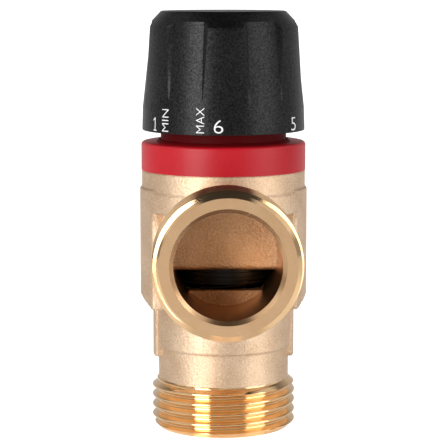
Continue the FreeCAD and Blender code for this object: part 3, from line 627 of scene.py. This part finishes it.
def knob_turns(height):
    """Angles across one rib and one recess, close together where the wall bends."""
    crest = rib_crest(height)[1]
    half, recess_start = math.pi / RIB_COUNT, RIB_FOOT * 1.03
    plain = [crest * 0.88 * share / 5 for share in range(1, 6)]
    wall = [crest + (RIB_FOOT - crest) * share for share in (-0.12, 0.0, 0.12, 0.5, 0.88, 1.0, 1.12)]
    recess = [recess_start + (half - recess_start) * share / 5 for share in range(1, 6)]
    one_side = plain + wall + recess
    return [-turn for turn in reversed(one_side[:-1])] + [0.0] + one_side


def knob_heights():
    """Rows up the knob, close together at its edges."""
    drop = RIB_RISE / BEVEL_SLOPE
    skirt = [RIM_LOW + (SKIRT_TOP - RIM_LOW) * share for share in (0.06, 0.2, 0.4, 0.6, 0.8, 0.96, 1.0)]
    plain = [SKIRT_TOP + (BEVEL_LOW - SKIRT_TOP) * share / 30 for share in range(1, 29)]
    top = [BEVEL_LOW - drop * share for share in (1.15, 1.0, 0.85, 0.5, 0.15, 0.0, -0.15)]
    bevel = [BEVEL_LOW + (KNOB_TOP - BEVEL_LOW) * share for share in (0.25, 0.6, 0.93)]
    return skirt + [height for height in plain if height < top[0]] + top + bevel


def knob_ring(height, out=None):
    """Points round the knob at that height. out stands for the formula where it is given."""
    ring = []
    for rib in range(RIB_COUNT):
        middle = -math.pi / 2 + TAU * rib / RIB_COUNT
        for turn in knob_turns(min(height, BEVEL_LOW)):
            radius = out if out is not None else knob_radius(height, turn)
            angle = middle + turn
            ring.append(Vector((radius * math.cos(angle), radius * math.sin(angle), height)))
    return ring


def is_knob_outside(centre, normal):
    """Whether a face of the CAD knob belongs to its outer skin."""
    slack, skin = 0.02 * MM, 0.6 * MM
    radius = math.hypot(centre.x, centre.y)
    outward = normal.dot(Vector((centre.x, centre.y, 0))) > 1e-9
    if centre.z > KNOB_TOP - slack:
        return True
    if RIM_LOW - slack < centre.z < RIM_LOW + slack and radius > RIM_INNER:
        return True
    return radius > base_radius(centre.z) - skin and (outward or normal.z > 0.2)


def build_knob():
    """The knob's shell by formula over the hub and inside of the CAD mesh."""
    shaped, mesh = copy_of("control_knob", "control_knob_form")
    shaped.normal_update()
    outside = [face for face in shaped.faces
               if is_knob_outside(face.calc_center_median(), face.normal)]
    bmesh.ops.delete(shaped, geom=outside, context="FACES")
    rings = [knob_ring(RIM_LOW, RIM_INNER), knob_ring(RIM_LOW, RIM_RADIUS - RIM_ROUND)]
    rings.append(knob_ring(RIM_LOW + RIM_ROUND * 0.3, RIM_RADIUS - RIM_ROUND * 0.3))
    rings += [knob_ring(height) for height in knob_heights()]
    rings.append(knob_ring(KNOB_TOP - 0.03 * MM, FACE_RADIUS - 0.06 * MM))
    rings += [knob_ring(KNOB_TOP, FACE_RADIUS - 0.2 * MM), knob_ring(KNOB_TOP, FACE_INNER)]
    verts = [[shaped.verts.new(point) for point in ring] for ring in rings]
    for low, high in zip(verts, verts[1:]):
        for place in range(len(low)):
            following = (place + 1) % len(low)
            shaped.faces.new([low[place], low[following], high[following], high[place]])
    bmesh.ops.recalc_face_normals(shaped, faces=shaped.faces)
    into_mesh(shaped, mesh, 24)
    made = add_object("control_knob_form", mesh, BLACK)
    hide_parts("control_knob")
    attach(made, "knob_assembly")


def drawn_one():
    """The figure 1 as a flat bmesh: a stem, a flag and a foot on each side, 0.7 high."""
    shaped = bmesh.new()
    for outline in (((0.17, 0), (0.23, 0), (0.23, 0.7), (0.17, 0.7)),
                    ((0.02, 0.57), (0.02, 0.52), (0.17, 0.62), (0.17, 0.7)),
                    ((0.06, 0.0), (0.06, 0.05), (0.17, 0.05), (0.17, 0.0)),
                    ((0.23, 0.0), (0.23, 0.05), (0.34, 0.05), (0.34, 0.0))):
        shaped.faces.new([shaped.verts.new((x, y, 0)) for x, y in outline])
    return shaped


def flat_text(text):
    """The words as a flat bmesh in the XY plane, in Blender's own font with thinner strokes."""
    curve = bpy.data.curves.new("print_source", "FONT")
    curve.body = text
    curve.resolution_u = 6
    curve.offset = STROKE_OFFSET
    source = bpy.data.objects.new("print_source", curve)
    bpy.context.scene.collection.objects.link(source)
    bpy.context.view_layer.update()
    flat = bpy.data.meshes.new_from_object(source.evaluated_get(bpy.context.evaluated_depsgraph_get()))
    shaped = bmesh.new()
    shaped.from_mesh(flat)
    bpy.data.objects.remove(source)
    bpy.data.curves.remove(curve)
    bpy.data.meshes.remove(flat)
    return shaped


def printed_text(text, degrees, cap_height, upright=True, wide=1.0):
    """White print on the skirt. degrees run from the front towards +X."""
    shaped = drawn_one() if text == "1" else flat_text(text)
    across = [vert.co.x for vert in shaped.verts]
    upward = [vert.co.y for vert in shaped.verts]
    low_x, high_x, low_y = min(across), max(across), min(upward)
    scale = cap_height / (max(upward) - low_y)
    for vert in shaped.verts:
        x = (vert.co.x - (low_x + high_x) / 2) * scale * wide
        y = (vert.co.y - low_y) * scale
        if not upright:
            x, y = cap_height / 2 - y, x + (high_x - low_x) / 2 * scale * wide
        vert.co = Vector((x, y, 0))
    bmesh.ops.triangulate(shaped, faces=shaped.faces)
    for step in range(-10, 11):
        bmesh.ops.bisect_plane(shaped, geom=shaped.verts[:] + shaped.edges[:] + shaped.faces[:],
                               plane_co=(step * PRINT_CUT, 0, 0), plane_no=(1, 0, 0), dist=1e-8)
    for vert in shaped.verts:
        height = PRINT_FOOT + vert.co.y
        radius = base_radius(height) + PRINT_LIFT
        angle = math.radians(degrees) + vert.co.x / radius
        vert.co = Vector((radius * math.sin(angle), -radius * math.cos(angle), height))
    mesh = bpy.data.meshes.new("print_" + text)
    shaped.to_mesh(mesh)
    shaped.free()
    made = add_object("print_" + text, mesh, PRINT)
    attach(made, "knob_assembly")


def build_print():
    """The dial's numbers and end words, round the knob's skirt."""
    for text, degrees in NUMBER_PLACES:
        printed_text(text, degrees, NUMBER_HEIGHT, wide=1.0 if text == "1" else NUMBER_WIDTH)
    printed_text("MIN", -46.0, 2.0 * MM, upright=False)
    printed_text("MAX", -17.8, 1.86 * MM, upright=False, wide=0.98)


# ------------------------------------------------------------------ the red collar

def build_collar():
    """The collar from the CAD mesh, with painted shade on its neck under the knob: a deeper, duller red
    for the shaded gap.
    """
    shaped, mesh = copy_of("indicator_collar", "indicator_collar_form")
    for face in shaped.faces:
        # Painted shade: faces above the ring's top, on the neck under the knob, take the dark red.
        face.material_index = int(face.calc_center_median().z > RING_TOP + 0.05 * MM)
    into_mesh(shaped, mesh, 28)
    made = add_object("indicator_collar_form", mesh, RED, RED_PAINTED_SHADE)
    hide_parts("indicator_collar")
    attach(made, "housing")


# ------------------------------------------------------------------ springs and the CAD's own pieces

def build_spring(node_name):
    """The CAD spring as a mesh of its own in spring steel, put in place of the CAD node."""
    shaped, mesh = copy_of(node_name, node_name + "_form")
    into_mesh(shaped, mesh, 40)
    made = add_object(node_name + "_form", mesh, SPRING)
    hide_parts(node_name)
    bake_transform(made)


def dress_cad_nodes():
    """Materials of the CAD's own objects, from the record's slots."""
    for subpart in frame["record"]["subparts"]:
        made = frame["nodes"][subpart["node"]]
        made.data.materials.clear()
        made.data.materials.append(SLOT_MATERIALS[subpart["material_slot"]])


# ------------------------------------------------------------------ floor, light and camera

def build_floor():
    """A wide pale floor that keeps a faint shadow."""
    size = 60.0
    mesh = bpy.data.meshes.new("floor")
    mesh.from_pydata([(-size, -size, 0), (size, -size, 0), (size, size, 0), (-size, size, 0)], [],
                     [(0, 1, 2, 3)])
    material, shader = new_material("floor_paper")
    seen = node(material, "ShaderNodeLightPath").outputs["Is Camera Ray"]
    connect(material, shader, Base_Color=(0.9, 0.9, 0.9, 1), Roughness=0.12, Metallic=0.5,
            Emission_Color=(1, 1, 1, 1), Emission_Strength=span(material, seen, 0.3, 0.9))
    floor = add_object("floor", mesh, material)


def aimed_at(made, place, aim):
    """Puts a lamp or camera in the scene at a place, looking at a point."""
    made.location = place
    made.rotation_euler = (aim - place).to_track_quat("-Z", "Y").to_euler()
    bpy.context.scene.collection.objects.link(made)


def softbox(name, degrees, wide, watts):
    """A rectangular lamp that faces the object. degrees run from the front towards +X."""
    turn = math.radians(degrees)
    level, rise = math.cos(LAMP_ELEVATION), math.sin(LAMP_ELEVATION)
    place = LAMP_AIM + LAMP_DISTANCE * Vector((math.sin(turn) * level, -math.cos(turn) * level, rise))
    lamp = bpy.data.lights.new(name, "AREA")
    lamp.shape = "RECTANGLE"
    lamp.size, lamp.size_y = wide, LAMP_TALL
    lamp.energy = watts
    made = bpy.data.objects.new(name, lamp)
    aimed_at(made, place, LAMP_AIM)


def build_world():
    """White to the eye; for light and reflections bright behind and aside, dim in front, dark above."""
    world = bpy.data.worlds.new("studio")
    bpy.context.scene.world = world
    world.use_nodes = True
    world.node_tree.nodes.clear()
    direction = node(world, "ShaderNodeTexCoord").outputs["Generated"]
    place = node(world, "ShaderNodeSeparateXYZ", {"Vector": direction}).outputs
    behind = span(world, place["Y"], 0.32, 0.68, -0.2, 0.6)
    above = span(world, place["Z"], 1.0, 0.16, 0.3, 0.7)
    aside = span(world, maths(world, "ABSOLUTE", place["X"]), 0.0, 1.0, 0.38, 0.5)
    raised = span(world, place["Z"], 0.0, 1.0, 0.22, 0.4)
    level = span(world, maths(world, "ABSOLUTE", place["Y"]), 0.8, 0.0, 0.35, 0.5)
    sides = maths(world, "MULTIPLY", maths(world, "MULTIPLY", aside, raised), level)
    strength = maths(world, "ADD", maths(world, "MULTIPLY", behind, above), sides)
    around = node(world, "ShaderNodeBackground", {"Strength": strength})
    seen = node(world, "ShaderNodeBackground", {"Color": (1, 1, 1, 1), "Strength": 1.0})
    camera_ray = node(world, "ShaderNodeLightPath").outputs["Is Camera Ray"]
    mix = node(world, "ShaderNodeMixShader", {0: camera_ray, 1: around.outputs[0], 2: seen.outputs[0]})
    node(world, "ShaderNodeOutputWorld", {"Surface": mix.outputs[0]})


def build_camera():
    """A long lens near the front, a little above the knob's top and looking slightly down."""
    place = Vector((CAMERA_REACH * math.sin(CAMERA_AZIMUTH), -CAMERA_REACH * math.cos(CAMERA_AZIMUTH),
                    CAMERA_HEIGHT))
    camera = bpy.data.objects.new("camera", bpy.data.cameras.new("camera"))
    camera.data.lens = CAMERA_LENS
    camera.data.sensor_width = CAMERA_SENSOR
    camera.data.clip_start = CAMERA_NEAR
    aimed_at(camera, place, CAMERA_AIM)
    bpy.context.scene.camera = camera


dress_cad_nodes()
build_body()
build_threads()
build_knob()
build_print()
build_collar()
build_spring("return_spring")
build_spring("overtravel_spring")
build_floor()
build_world()
softbox("left_softbox", -40, wide=0.27, watts=4.2)
softbox("right_softbox", 57, wide=0.40, watts=2.3)
build_camera()

bpy.context.scene.view_settings.view_transform = "Standard"
